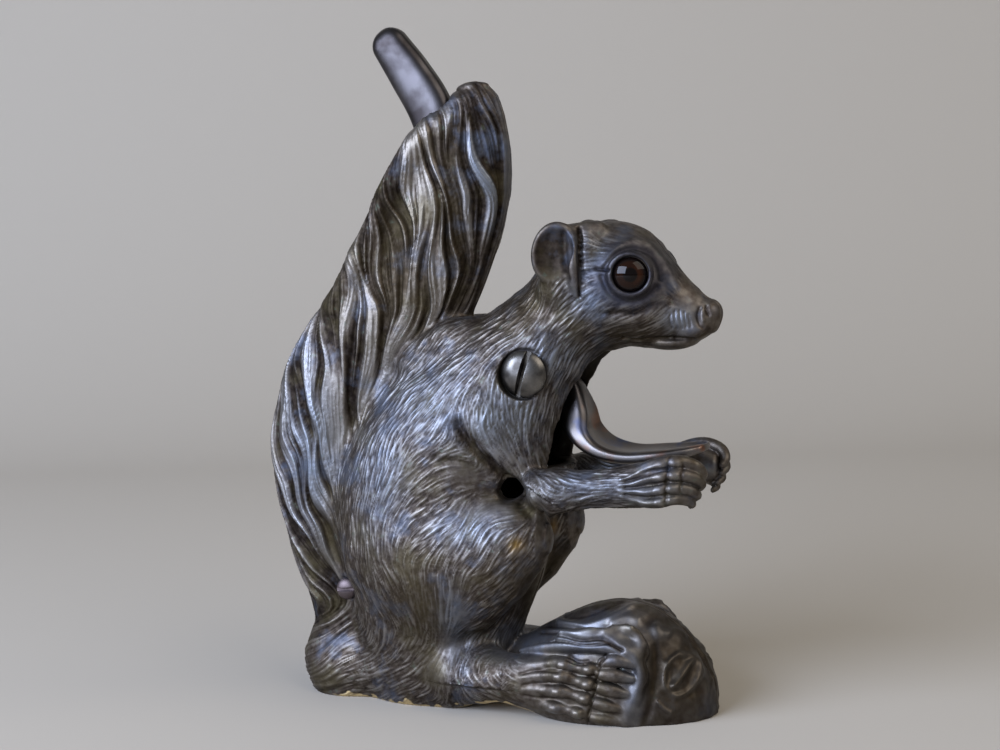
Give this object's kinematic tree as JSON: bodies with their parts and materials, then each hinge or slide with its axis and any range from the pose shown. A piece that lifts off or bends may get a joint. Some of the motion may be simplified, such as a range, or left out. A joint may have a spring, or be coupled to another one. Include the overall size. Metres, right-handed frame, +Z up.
{
  "type": "nutcracker",
  "caption": "Table-top lever nutcracker in the shape of a sitting squirrel: pull the handle behind its tail and the tray in its paws lifts to crack a nut under the chin.",
  "frame": {"origin": "on the base plane, in the parting plane of the two half castings, where the squirrel's rump meets the nut between its feet", "axes": "+X the way the squirrel faces, +Z up, +Y towards the squirrel's left side"},
  "size_m": [0.1555, 0.0594, 0.2236],
  "materials": {
    "bronze_casting": "cast bronze with a dark brown patina, rubbed bright along the fur",
    "bronze_lever": "smooth dark brown bronze, polished by the hand",
    "screw_metal": "satin tarnished brass",
    "bush_metal": "turned brass",
    "eye_glass": "dark brown glass"
  },
  "bodies": {
    "body": {"right_half": "bronze_casting", "left_half": "bronze_casting", "pivot_screw": "screw_metal", "pivot_bush": "bush_metal", "tail_screw": "screw_metal", "right_eye": "eye_glass", "left_eye": "eye_glass"},
    "lever": {"lever": "bronze_lever"}
  },
  "joints": [
    {"name": "lever_pivot", "type": "hinge", "parent": "body", "child": "lever", "pos_m": [0.015, 0, 0.111], "axis": [0, -1, 0], "range_deg": [0, 33]}
  ]
}
